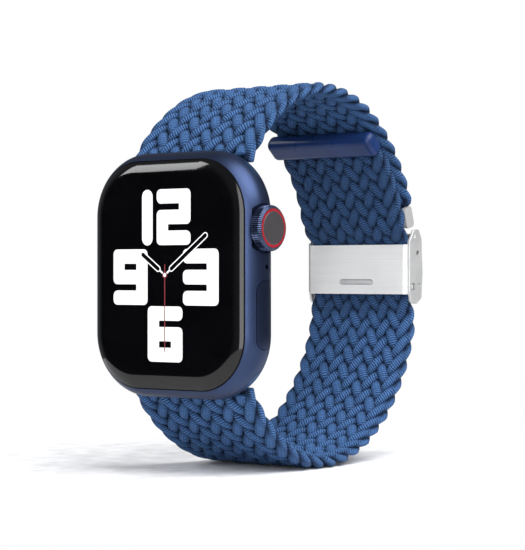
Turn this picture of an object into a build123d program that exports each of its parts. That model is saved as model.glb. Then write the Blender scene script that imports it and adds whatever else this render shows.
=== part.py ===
"""A smart fitness watch on a braided loop band with a clamp clasp.

Millimetres. +X points to the crown side, +Y from the back crystal into the wrist, +Z towards 12 o'clock.
The origin is the centre of the back crystal's flat face, which rests on the wrist or on a charging puck.
"""

import os
from math import atan2, cos, degrees, hypot, pi, radians, sin, sqrt

from build123d import *

# ---------------------------------------------------------------- driving dimensions
CASE_WIDTH = 37.6
CASE_HEIGHT = 44.0
CASE_CORNER = 11.5
FRONT_Y = -10.7
CASE_BACK_Y = -1.5
FRONT_ROUND = 4.6
BACK_ROUND = 4.2

GLASS_INSET = 1.75
GASKET_WIDTH = 0.2
GLASS_BACK_Y = -9.1
BAY_FLOOR_Y = -6.9
BACK_FLOOR_Y = -2.5
CRYSTAL_RADIUS = 12.4
CRYSTAL_FLAT_RADIUS = 7.5
CRYSTAL_RIM_Y = -1.3

CROWN_Y = -5.9
CROWN_Z = 8.1
CROWN_RADIUS = 4.0
CROWN_TIP_X = 20.65
CROWN_BASE_X = 18.55
CROWN_FLOOR_X = 18.0
CROWN_TEETH = 66
CROWN_TRAVEL = 0.4
SHAFT_RADIUS = 0.9

BUTTON_Z = -7.0
BUTTON_LENGTH = 12.0
BUTTON_HEIGHT = 3.9
BUTTON_TRAVEL = 0.35

RELEASE_Z = 17.6
RELEASE_LENGTH = 7.0
RELEASE_HEIGHT = 1.2
RELEASE_TRAVEL = 0.5

LOOP_Y = 20.9
LOOP_DEPTH = 31.05
LOOP_HALF_HEIGHT = 35.4
STRAP_THICK = 2.3
LAYER_GAP = 0.1
STRAP_HALF_WIDTH_CASE = 13.9
STRAP_HALF_WIDTH_CLASP = 12.2
STRAP_HALF_WIDTH_CLAMPED = 11.3

LUG_START = 0.662
LUG_REACH = 3.0
LUG_RADIUS = 1.7
NECK_THICK = 2.2
TONGUE_THICK = 0.8
TONGUE_LENGTH = 3.5

RUNNING = 0.05
FIT = 0.1

BASE_Y = 48.0
BASE_BOTTOM = -3.8
BASE_TOP = 6.0
BASE_THICK = 0.5
FLANGE_OUT = 11.85
CHEEK_IN = 11.9
CHEEK_OUT = 12.4
LEVER_PIVOT = (51.65, 4.4)
LEVER_PIN_RADIUS = 0.5
FERRULE_PIVOT = (50.6, 7.6)
FERRULE_PIN_RADIUS = 0.4
FERRULE_CENTRE = (49.05, 11.4)
FERRULE_LENGTH = 4.2
FERRULE_THICK = 2.6
FERRULE_TILT = 17.0
FERRULE_HALF_WIDTH = 12.1

CAP_HALF_WIDTH = 12.5
CAP_HEIGHT = 5.0
CAP_POCKET = 2.6
CAP_POCKET_HALF_WIDTH = 11.6
TAIL_HALF_WIDTH = 12.1


# ---------------------------------------------------------------- planes and simple solids
def facing(y):
    """A drawing plane square to Y, with +X right and +Z up; it extrudes towards the display."""
    return Plane(origin=(0, y, 0), x_dir=(1, 0, 0), z_dir=(0, -1, 0))


def across(x):
    """A drawing plane square to X, with +Y right and +Z up; it extrudes towards the crown side."""
    return Plane(origin=(x, 0, 0), x_dir=(0, 1, 0), z_dir=(1, 0, 0))


def slab(width, height, corner, y0, y1, x=0.0, z=0.0):
    """A round-cornered plate between y0 and y1."""
    outline = RectangleRounded(width, height, corner)
    return extrude(facing(y1) * Pos(x, z) * outline, y1 - y0)


def block(x0, x1, y0, y1, z0, z1):
    centre = ((x0 + x1) / 2, (y0 + y1) / 2, (z0 + z1) / 2)
    return Pos(*centre) * Box(x1 - x0, y1 - y0, z1 - z0)


def disc(radius, y0, y1, x=0.0, z=0.0):
    return extrude(facing(y1) * Pos(x, z) * Circle(radius), y1 - y0)


def rod(radius, x0, x1, y, z):
    return extrude(across(x0) * Pos(y, z) * Circle(radius), x1 - x0)


def obround_x(length, height, x0, x1, y, z):
    """A prism along X whose section is an obround standing along Z."""
    outline = Pos(y, z) * Rot(0, 0, 90) * SlotOverall(length, height)
    return extrude(across(x0) * outline, x1 - x0)


def obround_y(length, height, y0, y1, x, z):
    """A prism along Y whose section is an obround lying along X."""
    outline = Pos(x, z) * SlotOverall(length, height)
    return extrude(facing(y1) * outline, y1 - y0)


def across_prism(face, half_width):
    """A face drawn in Y and Z, as a prism centred on X."""
    return extrude(across(-half_width) * face, 2 * half_width)


def mirrored(shape):
    """The same piece at the 6 o'clock end."""
    return mirror(shape, about=Plane.XY)


# ---------------------------------------------------------------- the loop that the strap follows
def loop_point(angle, inset):
    """A point of the loop's side view. Angle 0 faces the display and pi/2 is the top."""
    depth = LOOP_DEPTH - inset
    height = LOOP_HALF_HEIGHT - inset
    return (LOOP_Y - depth * cos(angle), height * sin(angle))


def loop_tangent(angle, inset):
    depth = LOOP_DEPTH - inset
    height = LOOP_HALF_HEIGHT - inset
    dy, dz = depth * sin(angle), height * cos(angle)
    size = hypot(dy, dz)
    return (dy / size, dz / size)


STRAP_START = loop_point(LUG_START, STRAP_THICK / 2)
STRAP_DIRECTION = loop_tangent(LUG_START, STRAP_THICK / 2)
LUG_Y = STRAP_START[0] - LUG_REACH * STRAP_DIRECTION[0]
LUG_Z = STRAP_START[1] - LUG_REACH * STRAP_DIRECTION[1]
LUG_TILT = degrees(atan2(STRAP_DIRECTION[1], STRAP_DIRECTION[0]))
TAIL_INSET = 1.5 * STRAP_THICK + LAYER_GAP


def strip(stations):
    """A closed face round a line of (y, z, half thickness) stations, drawn in Y and Z."""
    left, right = [], []
    for i, (y, z, half) in enumerate(stations):
        y0, z0, _ = stations[max(i - 1, 0)]
        y1, z1, _ = stations[min(i + 1, len(stations) - 1)]
        size = hypot(y1 - y0, z1 - z0)
        across_y, across_z = -(z1 - z0) / size, (y1 - y0) / size
        left.append((y + half * across_y, z + half * across_z))
        right.append((y - half * across_y, z - half * across_z))
    edges = Spline(*left) + Spline(*right)
    edges += Line(left[0], right[0])
    edges += Line(left[-1], right[-1])
    return make_face(edges)


def tapered(half_case, half_clasp):
    """The strap's plan: wide at the case and narrower at the clasp."""
    far_y = LOOP_Y + LOOP_DEPTH + 3
    near_y = -6.0
    plan = Polyline(
        (-half_case, near_y), (half_case, near_y), (half_clasp, far_y), (-half_clasp, far_y), close=True
    )
    return extrude(Pos(0, 0, -45) * make_face(plan), 90)


# ---------------------------------------------------------------- the watch case
def envelope():
    """The outer form that the case, glass, side button and lugs share."""
    body = slab(CASE_WIDTH, CASE_HEIGHT, CASE_CORNER, FRONT_Y, CASE_BACK_Y)
    body = fillet(body.edges().group_by(Axis.Y)[0], FRONT_ROUND)
    return fillet(body.edges().group_by(Axis.Y)[-1], BACK_ROUND)


def inset_slab(inset, y0, y1):
    return slab(CASE_WIDTH - 2 * inset, CASE_HEIGHT - 2 * inset, CASE_CORNER - inset, y0, y1)


def lug_section(radius, neck, reach):
    """The lug's side view: a round bead and a neck that leans back with the strap."""
    bead = Pos(LUG_Y, LUG_Z) * Circle(radius)
    stem = Pos(LUG_Y, LUG_Z) * Rot(0, 0, LUG_TILT) * Pos(reach / 2, 0) * Rectangle(reach, neck)
    return bead + stem


def lug_channel():
    return across_prism(lug_section(LUG_RADIUS + FIT, NECK_THICK + 2 * FIT, 9.0), 25)


def release_prism(clearance):
    size = 2 * clearance
    return obround_y(
        RELEASE_LENGTH + size, RELEASE_HEIGHT + size, LUG_Y, CASE_BACK_Y + 1, 0, RELEASE_Z
    )


def side_button_prism(clearance, x0, x1):
    size = 2 * clearance
    return obround_x(BUTTON_LENGTH + size, BUTTON_HEIGHT + size, x0, x1, CROWN_Y, BUTTON_Z)


SPEAKER_SLOTS_Z = (-6.0, 5.0)
SPEAKER_SLOT_LENGTH = 8.0
MIC_Z = 1.4
SCREW_PLACES = [(sx * 10.5, sz * 17.6) for sx in (-1, 1) for sz in (-1, 1)]


def case_shell(form):
    shell = form - inset_slab(GLASS_INSET - GASKET_WIDTH, FRONT_Y - 1, GLASS_BACK_Y)
    shell -= inset_slab(2.6, GLASS_BACK_Y - 0.1, BAY_FLOOR_Y)
    shell -= slab(31.2, 30.6, 6.0, BAY_FLOOR_Y - 0.1, BACK_FLOOR_Y)
    shell -= disc(CRYSTAL_RADIUS + 0.1, BACK_FLOOR_Y - 0.1, CASE_BACK_Y + 1)
    shell -= disc(14.6, CASE_BACK_Y - 0.4, CASE_BACK_Y + 1)
    channel = lug_channel()
    shell -= channel
    shell -= mirrored(channel)
    opening = release_prism(FIT)
    shell -= opening
    shell -= mirrored(opening)
    shell -= rod(CROWN_RADIUS + 0.35, CROWN_FLOOR_X, 22, CROWN_Y, CROWN_Z)
    shell -= rod(1.5, 15.0, 19, CROWN_Y, CROWN_Z)
    shell -= side_button_prism(FIT, 15.0, 22)
    shell -= rod(0.45, 15.0, 20, CROWN_Y + 0.5, MIC_Z)
    for z in SPEAKER_SLOTS_Z:
        shell -= obround_x(SPEAKER_SLOT_LENGTH, 1.1, -20, -15.0, CROWN_Y, z)
    for x, z in SCREW_PLACES:
        shell -= disc(0.45, BAY_FLOOR_Y - 0.1, BAY_FLOOR_Y + 0.45, x, z)
    return shell


def cover_glass(form):
    return form & inset_slab(GLASS_INSET, FRONT_Y - 1, GLASS_BACK_Y)


def display_gasket(form):
    ring = inset_slab(GLASS_INSET - GASKET_WIDTH, FRONT_Y - 1, GLASS_BACK_Y)
    ring -= inset_slab(GLASS_INSET, FRONT_Y - 2, GLASS_BACK_Y + 1)
    lowered = Pos(0, 0.12, 0) * form
    return ring & lowered


def back_crystal():
    """A shallow dome with a flat centre, seen from the wrist."""
    run = CRYSTAL_RADIUS - CRYSTAL_FLAT_RADIUS
    bend = (run ** 2 + CRYSTAL_RIM_Y ** 2) / (-2 * CRYSTAL_RIM_Y)
    half_turn = atan2(run, bend + CRYSTAL_RIM_Y) / 2
    middle = (CRYSTAL_FLAT_RADIUS + bend * sin(half_turn), bend * (cos(half_turn) - 1))
    sides = Polyline((0, 0), (0, BACK_FLOOR_Y), (CRYSTAL_RADIUS, BACK_FLOOR_Y), (CRYSTAL_RADIUS, CRYSTAL_RIM_Y))
    dome = ThreePointArc((CRYSTAL_RADIUS, CRYSTAL_RIM_Y), middle, (CRYSTAL_FLAT_RADIUS, 0))
    return revolve(make_face(sides + dome + Line((CRYSTAL_FLAT_RADIUS, 0), (0, 0))), Axis.Y)


def back_trim_ring():
    ring = disc(14.5, CASE_BACK_Y - 0.4, CASE_BACK_Y + 0.2)
    ring = fillet(ring.edges().group_by(Axis.Y)[-1], 0.15)
    return ring - disc(CRYSTAL_RADIUS + 0.1, CASE_BACK_Y - 1, CASE_BACK_Y + 1)


def screw(x, z):
    head = disc(0.8, BAY_FLOOR_Y - 0.9, BAY_FLOOR_Y - 0.6, x, z)
    slot = block(x - 0.1, x + 0.1, BAY_FLOOR_Y - 1.0, BAY_FLOOR_Y - 0.75, z - 0.9, z + 0.9)
    shank = disc(0.45, BAY_FLOOR_Y - 0.6, BAY_FLOOR_Y + 0.45, x, z)
    return head + shank - slot


def mid_frame():
    frame = inset_slab(3.0, BAY_FLOOR_Y - 0.6, BAY_FLOOR_Y) - slab(
        28.0, 29.0, 5.0, BAY_FLOOR_Y - 1, BAY_FLOOR_Y + 1
    )
    for x, z in SCREW_PLACES:
        frame -= disc(0.45, BAY_FLOOR_Y - 1, BAY_FLOOR_Y + 1, x, z)
    return frame


def sensor_board():
    """The round board behind the back crystal, with four emitters and four light sensors."""
    board = disc(11.8, -3.6, -3.2)
    for k in range(4):
        a = radians(90 * k)
        board += block(
            4.0 * cos(a) - 0.9, 4.0 * cos(a) + 0.9, -3.2, -2.6, 4.0 * sin(a) - 0.9, 4.0 * sin(a) + 0.9
        )
        b = radians(90 * k + 45)
        board += disc(1.1, -3.2, -2.6, 5.4 * cos(b), 5.4 * sin(b))
    return board


def charging_coil():
    return disc(11.4, -3.1, -2.6) - disc(7.6, -3.4, -2.3)


def speaker_module():
    return block(-15.3, -11.4, -6.6, -3.9, -11.0, 10.0)


def microphone():
    capsule = rod(0.9, 13.6, 15.5, CROWN_Y + 0.5, MIC_Z)
    return capsule


def watch_head(form):
    parts = {
        "case_shell": case_shell(form),
        "cover_glass": cover_glass(form),
        "display_gasket": display_gasket(form),
        "display_panel": inset_slab(3.1, GLASS_BACK_Y, GLASS_BACK_Y + 0.8),
        "mid_frame": mid_frame(),
        "frame_screws": Compound(children=[screw(x, z) for x, z in SCREW_PLACES]),
        "back_crystal": back_crystal(),
        "back_trim_ring": back_trim_ring(),
        "sensor_board": sensor_board(),
        "charging_coil": charging_coil(),
        "battery": fillet(block(-10.8, 8.4, -7.6, -3.9, -8.6, 3.2).edges(), 0.4),
        "logic_board": block(-10.8, 8.6, -6.4, -3.9, 4.0, 14.8),
        "haptic_motor": fillet(block(-10.8, 8.4, -7.0, -3.9, -14.6, -9.4).edges(), 0.5),
        "speaker_module": speaker_module(),
        "microphone": microphone(),
        "crown_bushing": crown_bushing(),
        "crown_switch": crown_switch(),
        "side_button_switch": side_button_switch(),
    }
    return parts


# ---------------------------------------------------------------- the crown
def crown_bushing():
    top = CROWN_FLOOR_X - 0.05
    tube = rod(1.5, 15.9, top, CROWN_Y, CROWN_Z) - rod(SHAFT_RADIUS + RUNNING, 14, 19, CROWN_Y, CROWN_Z)
    return tube - rod(1.42, top - 1.2, 19, CROWN_Y, CROWN_Z)


def crown_switch():
    body = block(9.4, 10.9, CROWN_Y - 0.9, CROWN_Y + 1.6, CROWN_Z - 1.6, CROWN_Z + 1.6)
    return body + rod(0.8, 10.9, 11.3, CROWN_Y, CROWN_Z)


def crown_knob():
    """A knurled ring with a bevelled tip and a front pocket."""
    outline = []
    for k in range(2 * CROWN_TEETH):
        radius = CROWN_RADIUS if k % 2 else CROWN_RADIUS - 0.2
        a = pi * k / CROWN_TEETH
        outline.append((CROWN_Y + radius * cos(a), CROWN_Z + radius * sin(a)))
    base_x = CROWN_BASE_X
    knurled = extrude(across(base_x) * make_face(Polyline(*outline, close=True)), CROWN_TIP_X - base_x)
    bevel = Polyline(
        (base_x, 0), (base_x, 3.75), (base_x + 0.3, CROWN_RADIUS + 0.05), (CROWN_TIP_X - 0.55, 4.05),
        (CROWN_TIP_X, 3.5), (CROWN_TIP_X, 0), close=True
    )
    limit = revolve(make_face(bevel), Axis.X)
    knob = knurled & (Pos(0, CROWN_Y, CROWN_Z) * limit)
    knob -= rod(3.4, CROWN_TIP_X - 0.5, CROWN_TIP_X + 1, CROWN_Y, CROWN_Z)
    return knob - rod(SHAFT_RADIUS, base_x - 1, CROWN_TIP_X - 0.9, CROWN_Y, CROWN_Z)


def crown_ring():
    ring = rod(3.4, CROWN_TIP_X - 0.5, CROWN_TIP_X - 0.02, CROWN_Y, CROWN_Z)
    return ring - rod(2.92, CROWN_TIP_X - 1, CROWN_TIP_X + 1, CROWN_Y, CROWN_Z)


def crown_cap():
    cap = rod(2.92, CROWN_TIP_X - 0.5, CROWN_TIP_X + 0.08, CROWN_Y, CROWN_Z)
    return fillet(cap.edges().group_by(Axis.X)[-1], 0.1)


def crown_shaft():
    return rod(SHAFT_RADIUS, 12.15, CROWN_TIP_X - 0.9, CROWN_Y, CROWN_Z)


def crown_seal():
    return Pos(17.45, CROWN_Y, CROWN_Z) * Rot(0, 90, 0) * Torus(SHAFT_RADIUS + 0.23, 0.22)


def encoder_disc():
    ring = rod(1.7, 13.2, 13.7, CROWN_Y, CROWN_Z) - rod(SHAFT_RADIUS, 13, 14, CROWN_Y, CROWN_Z)
    return ring


def crown_push_plate():
    """The non-turning plate between the shaft and the switch."""
    return rod(1.3, 11.75, 12.1, CROWN_Y, CROWN_Z)


def crown_pieces():
    return {
        "crown_knob": crown_knob(),
        "crown_ring": crown_ring(),
        "crown_cap": crown_cap(),
        "crown_shaft": crown_shaft(),
        "crown_seal": crown_seal(),
        "crown_encoder_disc": encoder_disc(),
        "crown_push_plate": crown_push_plate(),
    }


# ---------------------------------------------------------------- the buttons
def side_button(form):
    """A flush key with a flange that keeps it in the case, and a stem."""
    key = form & side_button_prism(0, 16.6, 22)
    stem = rod(0.8, 15.1, 16.7, CROWN_Y, BUTTON_Z)
    return key + stem


def side_button_switch():
    body = block(13.0, 14.2, CROWN_Y - 1.0, CROWN_Y + 1.4, BUTTON_Z - 3.0, BUTTON_Z + 3.0)
    return body + rod(0.6, 14.2, 14.6, CROWN_Y, BUTTON_Z)


def side_button_seal():
    return Pos(16.39, CROWN_Y, BUTTON_Z) * Rot(0, 90, 0) * Torus(1.01, 0.2)


def release_button(form):
    """A key in the case's back that stops flush with the lug's channel when it is pressed."""
    channel = lug_channel()
    return (form & release_prism(0)) - channel - Pos(0, RELEASE_TRAVEL + 0.05, 0) * channel


# ---------------------------------------------------------------- the lugs
def latch_box(clearance, y0):
    half = RELEASE_LENGTH / 2 + 0.1 + clearance
    top = RELEASE_Z + RELEASE_HEIGHT / 2 + 0.1 + clearance
    bottom = RELEASE_Z - RELEASE_HEIGHT / 2 - clearance
    return block(-half, half, y0, CASE_BACK_Y, bottom, top)


LATCH_FLOOR_Y = -4.1


def lug_solid(form):
    """The bead and neck, trimmed flush with the case."""
    return across_prism(lug_section(LUG_RADIUS, NECK_THICK, 6.0), 25) & form


def tongue():
    reach = LUG_REACH + TONGUE_LENGTH
    face = Pos(LUG_Y, LUG_Z) * Rot(0, 0, LUG_TILT) * Pos(reach / 2, 0) * Rectangle(reach, TONGUE_THICK)
    return across_prism(face, 11.0)


def rivet(x):
    """A short rivet through the strap's end and the tongue."""
    y = LUG_Y + (LUG_REACH + 1.9) * STRAP_DIRECTION[0]
    z = LUG_Z + (LUG_REACH + 1.9) * STRAP_DIRECTION[1]
    return Pos(x, y, z) * Rot(LUG_TILT, 0, 0) * Rot(0, 0, 0) * Cylinder(0.6, 1.9)


RIVET_PLACES = (-8.0, 0.0, 8.0)


def lug_pieces(form, prefix, place):
    """One lug with its spring latch and the rivets that hold the strap; place moves it to its end."""
    rivets = Compound(children=[place(rivet(x)) for x in RIVET_PLACES])
    lug = lug_solid(form) + tongue()
    lug -= latch_box(0.08, LATCH_FLOOR_Y - RELEASE_TRAVEL - 0.15)
    for x in RIVET_PLACES:
        lug -= rivet(x)
    latch = lug_solid(form) & latch_box(0, LATCH_FLOOR_Y)
    return {
        f"{prefix}_lug": place(lug),
        f"{prefix}_lug_latch": place(latch),
        f"{prefix}_lug_rivets": rivets,
    }


# ---------------------------------------------------------------- the strap
FERRULE_UP = (-sin(radians(FERRULE_TILT)), cos(radians(FERRULE_TILT)))


def along_ferrule(distance):
    """A point on the ferrule's mid-line, measured up from its centre."""
    return (FERRULE_CENTRE[0] + distance * FERRULE_UP[0], FERRULE_CENTRE[1] + distance * FERRULE_UP[1])


def strap_end(shape):
    """Takes the lug's tongue and rivets out of a strap's end."""
    shape -= tongue()
    for x in RIVET_PLACES:
        shape -= rivet(x)
    return shape


FERRULE_POCKET_DEPTH = 3.2
POCKET_HALF = 0.85


def upper_strap():
    half = STRAP_THICK / 2
    count = 15
    last_angle = 2.7
    stations = []
    for k in range(count):
        angle = LUG_START + (last_angle - LUG_START) * k / (count - 1)
        stations.append((*loop_point(angle, half), half))
    stations.append((*along_ferrule(FERRULE_LENGTH / 2 + 0.6), 0.95))
    stations.append((*along_ferrule(FERRULE_LENGTH / 2 - 1.0), POCKET_HALF))
    stations.append((*along_ferrule(FERRULE_LENGTH / 2 - FERRULE_POCKET_DEPTH + 0.05), POCKET_HALF))
    band = across_prism(strip(stations), 20)
    band = band & tapered(STRAP_HALF_WIDTH_CASE, STRAP_HALF_WIDTH_CLASP)
    top = FERRULE_CENTRE[1] + FERRULE_LENGTH / 2 + 0.35
    trim = block(FERRULE_HALF_WIDTH - 0.6, 20, 44, 56, 0, top)
    band -= trim
    band -= mirror(trim, about=Plane.YZ)
    return strap_end(band)


# The lower strap leaves the loop below the clasp, runs flat through it and comes out inside the upper strap.
CLAMPED_RUN = (
    (50.05, -8.2, 1.1),
    (49.82, -6.2, 0.95),
    (49.65, -4.2, 0.85),
    (49.65, 0.6, 0.85),
    (49.65, 4.6, 0.85),
    (49.32, 6.2, 0.8),
    (48.36, 7.65, 0.8),
    (47.28, 8.9, 0.8),
)
TAIL_FIRST_ANGLE = 2.77
TAIL_LAST_ANGLE = 2.205
TAIL_DIP = 0.4


def lower_strap():
    half = STRAP_THICK / 2
    stations = []
    count = 14
    last_angle = pi - 0.33
    for k in range(count):
        angle = LUG_START + (last_angle - LUG_START) * k / (count - 1)
        y, z = loop_point(angle, half)
        stations.append((y, -z, half))
    stations += CLAMPED_RUN
    tail_count = 7
    for k in range(tail_count):
        angle = TAIL_FIRST_ANGLE + (TAIL_LAST_ANGLE - TAIL_FIRST_ANGLE) * k / (tail_count - 1)
        dip = TAIL_DIP * max(0, 1 - k / 5)
        thin = half if k < tail_count - 2 else 0.83
        stations.append((*loop_point(angle, TAIL_INSET + dip), thin))
    band = across_prism(strip(stations), 20)
    band = band & tapered(STRAP_HALF_WIDTH_CASE, STRAP_HALF_WIDTH_CLASP)
    trim = block(STRAP_HALF_WIDTH_CLAMPED, 20, 44, 56, -6.3, 8.8)
    band -= trim
    band -= mirror(trim, about=Plane.YZ)
    slimmed = block(TAIL_HALF_WIDTH, 20, 20, 56, 8.7, 40)
    band -= slimmed
    band -= mirror(slimmed, about=Plane.YZ)
    tip = cap_place() * Pos(CAP_POCKET / 2 - 0.5, 0) * Rectangle(CAP_POCKET + 1, 8)
    band -= across_prism(tip, 20) - across_prism(tip, CAP_POCKET_HALF_WIDTH)
    return mirrored(strap_end(mirrored(band)))


def cap_place():
    """The tail cap's middle in the side view, with +X down the strap and +Y away from the wrist."""
    dy, dz = loop_tangent(TAIL_LAST_ANGLE, TAIL_INSET)
    return Pos(*loop_point(TAIL_LAST_ANGLE, TAIL_INSET)) * Rot(0, 0, degrees(atan2(dz, dy)))


def tail_cap():
    """The moulded end of the strap's tail: a rounded bar with a pocket that holds the braid."""
    inner, outer = 2.2, STRAP_THICK / 2
    thick = inner + outer
    section = RectangleRounded(CAP_HEIGHT, thick, thick * 0.42)
    bar = across_prism(cap_place() * Pos(0, (outer - inner) / 2) * section, CAP_HALF_WIDTH)
    ends = bar.edges().group_by(Axis.X)
    bar = fillet(list(ends[0]) + list(ends[-1]), 1.2)
    pocket = cap_place() * Pos(CAP_POCKET / 2 - 0.1, 0) * Rectangle(CAP_POCKET + 0.3, 2.0)
    return bar - across_prism(pocket, CAP_POCKET_HALF_WIDTH + 0.04)


# ---------------------------------------------------------------- the clasp
def cheek_outline():
    """The clasp's side view, with its slanted shoulder and round foot."""
    corners = Polyline(
        (48.75, -3.4), (48.75, 6.6), (50.2, 8.9), (52.0, 9.1), (53.1, 7.2), (53.45, 0.5), (53.05, -4.6),
        (51.2, -5.8), (49.4, -5.6), close=True
    )
    outline = make_face(corners)
    return fillet(outline.vertices(), 0.7)


WINDOW_PLACE = (50.1, -2.3)
DETENT_PLACE = (52.15, -1.8)


def clasp_frame():
    """Two cheeks joined across the back above the lever."""
    cheek = extrude(across(CHEEK_IN) * cheek_outline(), CHEEK_OUT - CHEEK_IN)
    cheek = fillet(cheek.faces().sort_by(Axis.X)[-1].outer_wire().edges(), 0.12)
    cheek -= across_prism(Pos(*WINDOW_PLACE) * Rectangle(1.2, 1.3), 13)
    cheek -= rod(0.3, 11, 13, *DETENT_PLACE)
    bridge_face = Pos(52.25, 7.5) * RectangleRounded(0.75, 1.5, 0.2)
    frame = cheek + mirror(cheek, about=Plane.YZ) + across_prism(bridge_face, CHEEK_IN)
    frame -= rod(LEVER_PIN_RADIUS, -14, 14, *LEVER_PIVOT)
    return frame - rod(FERRULE_PIN_RADIUS, -14, 14, *FERRULE_PIVOT)


BASE_SLOT_Z = -1.4


def clasp_base():
    """The inner plate on the wrist side: a shallow channel with a staking slot and two side tabs."""
    depth = 2.2
    outer = block(-FLANGE_OUT, FLANGE_OUT, BASE_Y, BASE_Y + depth, BASE_BOTTOM, BASE_TOP)
    bends = outer.edges().filter_by(Axis.Z).group_by(Axis.Y)[0]
    outer = fillet(bends, 0.7)
    wall = 0.4
    hollow = block(
        -FLANGE_OUT + wall, FLANGE_OUT - wall, BASE_Y + BASE_THICK, BASE_Y + 4, BASE_BOTTOM - 1, BASE_TOP + 1
    )
    base = outer - hollow
    base -= obround_y(8.2, 1.05, BASE_Y - 1, BASE_Y + 1, 0, BASE_SLOT_Z)
    for side in (-1, 1):
        x0, x1 = sorted((side * (FLANGE_OUT - 0.1), side * (FLANGE_OUT + 0.35)))
        base += block(x0, x1, WINDOW_PLACE[0] - 0.5, WINDOW_PLACE[0] + 0.1, -2.7, -1.9)
    return base


def grip_liner():
    """A thin plate under the strap, staked through the base's slot."""
    plate = block(-10.6, 10.6, BASE_Y + BASE_THICK, BASE_Y + BASE_THICK + 0.22, BASE_BOTTOM + 0.5, BASE_TOP - 0.9)
    stake = obround_y(7.9, 0.75, BASE_Y + 0.06, BASE_Y + BASE_THICK, 0, BASE_SLOT_Z)
    return plate + stake


def lever_section():
    """The lever's side view: a pivot barrel, a cam nose and a bowed cover that ends in a thumb lip."""
    py, pz = LEVER_PIVOT
    cover_line = Polyline(
        (py, pz + 0.98), (py + 0.55, pz + 0.88), (py + 1.2, pz + 0.35), (py + 1.5, pz - 0.3)
    )
    back_arc = ThreePointArc((py + 1.5, pz - 0.3), (py + 1.66, 0.4), (52.85, -4.0))
    lip = ThreePointArc((52.85, -4.0), (52.3, -4.95), (51.5, -5.2))
    inside = Polyline((51.5, -5.2), (51.75, -4.2), (51.9, pz - 4.4), (51.5, pz - 3.0), (50.8, pz - 2.6))
    nose = Polyline((50.8, pz - 2.6), (50.8, pz - 0.2), (py, pz + 0.98))
    body = make_face(cover_line + back_arc + lip + inside + nose)
    return body + Pos(py, pz) * Circle(0.98)


LEVER_HALF = CHEEK_IN - FIT


def clasp_lever():
    lever = across_prism(lever_section(), LEVER_HALF)
    lever -= rod(LEVER_PIN_RADIUS + RUNNING, -14, 14, *LEVER_PIVOT)
    lever -= block(-9.0, 9.0, 50.0, 51.45, LEVER_PIVOT[1] - 2.35, LEVER_PIVOT[1] - 0.75)
    for side in (-1, 1):
        x0, x1 = sorted((side * (LEVER_HALF - 1.2), side * (LEVER_HALF + 1)))
        lever -= rod(0.3, x0, x1, *DETENT_PLACE)
    return lever


def grip_teeth():
    """The serrated bar that bites the strap: five ridges across its width."""
    z_low = LEVER_PIVOT[1] - 2.35
    z_high = LEVER_PIVOT[1] - 0.75
    ridges = 4
    step = (z_high - z_low) / ridges
    outline = [(51.45, z_low), (51.45, z_high)]
    for k in range(ridges):
        outline.append((50.85, z_high - k * step))
        outline.append((50.62, z_high - (k + 0.5) * step))
    outline.append((50.85, z_low))
    return across_prism(make_face(Polyline(*outline, close=True)), 9.0)


def detent_pins():
    pins = []
    for side in (-1, 1):
        x0, x1 = sorted((side * (LEVER_HALF - 1.2), side * (LEVER_HALF - 0.02)))
        pins.append(rod(0.3, x0, x1, *DETENT_PLACE))
    return Compound(children=pins)


def end_ferrule(strap):
    """The metal sleeve on the upper strap's end, with the knuckle that hangs it on the clasp."""
    tilt = 90 + FERRULE_TILT
    sleeve_face = Pos(*FERRULE_CENTRE) * Rot(0, 0, tilt) * RectangleRounded(FERRULE_LENGTH, FERRULE_THICK, 0.8)
    sleeve = across_prism(sleeve_face, FERRULE_HALF_WIDTH)
    sleeve -= strap
    bottom_y, bottom_z = along_ferrule(-FERRULE_LENGTH / 2 + 0.3)
    py, pz = FERRULE_PIVOT
    web = make_face(
        Polyline(
            (bottom_y - 0.55, bottom_z), (bottom_y + 0.75, bottom_z + 0.1), (py + 0.6, pz + 0.45),
            (py - 0.35, pz - 0.66), close=True
        )
    )
    knuckle_face = web + Pos(py, pz) * Circle(0.75)
    knuckle = across_prism(knuckle_face, 9.0)
    ferrule = sleeve + knuckle
    return ferrule - rod(FERRULE_PIN_RADIUS + RUNNING, -14, 14, py, pz)


def clasp_pieces(band):
    return {
        "clasp_frame": clasp_frame(),
        "clasp_base": clasp_base(),
        "clasp_grip_liner": grip_liner(),
        "clasp_lever": clasp_lever(),
        "clasp_grip_teeth": grip_teeth(),
        "clasp_detent_pins": detent_pins(),
        "lever_pin": rod(LEVER_PIN_RADIUS, -CHEEK_OUT + 0.04, CHEEK_OUT - 0.04, *LEVER_PIVOT),
        "ferrule_pin": rod(FERRULE_PIN_RADIUS, -CHEEK_OUT + 0.3, CHEEK_OUT - 0.3, *FERRULE_PIVOT),
        "end_ferrule": end_ferrule(band),
    }


# ---------------------------------------------------------------- everything
def all_parts():
    form = envelope()
    parts = watch_head(form)
    parts |= crown_pieces()
    parts["side_button"] = side_button(form)
    parts["side_button_seal"] = side_button_seal()
    parts["upper_release_button"] = release_button(form)
    parts["lower_release_button"] = mirrored(release_button(form))
    parts |= lug_pieces(form, "upper", lambda shape: shape)
    parts |= lug_pieces(form, "lower", mirrored)
    band, strap = upper_strap(), lower_strap()
    parts["upper_strap"] = band
    parts["lower_strap"] = strap
    parts["strap_tail_cap"] = tail_cap()
    parts |= clasp_pieces(band)
    return parts


os.makedirs("parts", exist_ok=True)
for name, shape in all_parts().items():
    export_step(shape, f"parts/{name}.step")
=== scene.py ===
import math

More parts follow.
